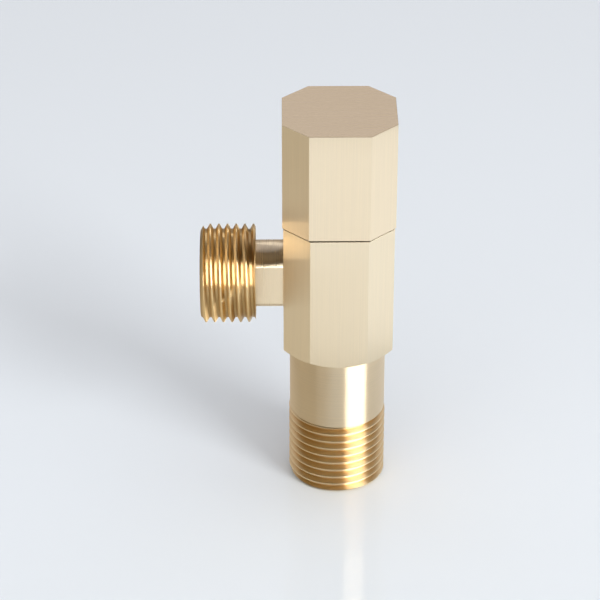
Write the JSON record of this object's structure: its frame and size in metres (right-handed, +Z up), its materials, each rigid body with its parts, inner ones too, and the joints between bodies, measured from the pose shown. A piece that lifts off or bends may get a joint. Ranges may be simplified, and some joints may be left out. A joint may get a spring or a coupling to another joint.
{
  "type": "angle stop valve",
  "caption": "Quarter-turn angle stop valve with an eight-sided brass body and handle, a threaded inlet below and a threaded outlet nipple at the side.",
  "frame": {"origin": "centre of the inlet's end face, which the valve stands on", "axes": "+Z up the inlet and spindle axis to the handle, -X along the outlet, -Y out of the front flat"},
  "size_m": [0.0405, 0.0234, 0.0869],
  "materials": {
    "body_brass": "fine vertical brushing, satin; raw machined brass on the thread",
    "handle_brass": "fine vertical brushing, satin",
    "nipple_brass": "raw machined brass",
    "inner_brass": "raw machined brass",
    "black_rubber": "matt",
    "ceramic": "lapped white alumina ceramic",
    "white_acetal": "moulded",
    "grey_plastic": "moulded",
    "spring_steel": "phosphated spring steel",
    "stainless": "plain"
  },
  "bodies": {
    "valve": {"valve_body": "body_brass", "outlet_nipple": "nipple_brass", "nipple_o_ring": "black_rubber", "cartridge_bonnet": "inner_brass", "bonnet_gasket": "black_rubber", "disc_cage": "grey_plastic", "silencer_ring": "white_acetal", "disc_seat_seal": "black_rubber", "seal_backing_ring": "white_acetal", "fixed_ceramic_disc": "ceramic", "lower_slip_washer": "white_acetal", "upper_slip_washer": "white_acetal"},
    "handle_set": {"handle": "handle_brass", "handle_set_screw": "stainless", "spindle": "inner_brass", "spindle_circlip": "spring_steel", "spindle_o_ring_lower": "black_rubber", "spindle_o_ring_upper": "black_rubber"},
    "disc_set": {"disc_driver": "white_acetal", "moving_ceramic_disc": "ceramic"}
  },
  "joints": [
    {"name": "handle_turn", "type": "hinge", "parent": "valve", "child": "handle_set", "pos_m": [0, 0, 0.064], "axis": [0, 0, 1], "range_deg": [0, 90]},
    {"name": "disc_turn", "type": "hinge", "parent": "valve", "child": "disc_set", "pos_m": [0, 0, 0.045], "axis": [0, 0, 1], "range_deg": [0, 90]}
  ],
  "couplings": [
    {"joint": "disc_turn", "follows": "handle_turn", "ratio": 1}
  ]
}
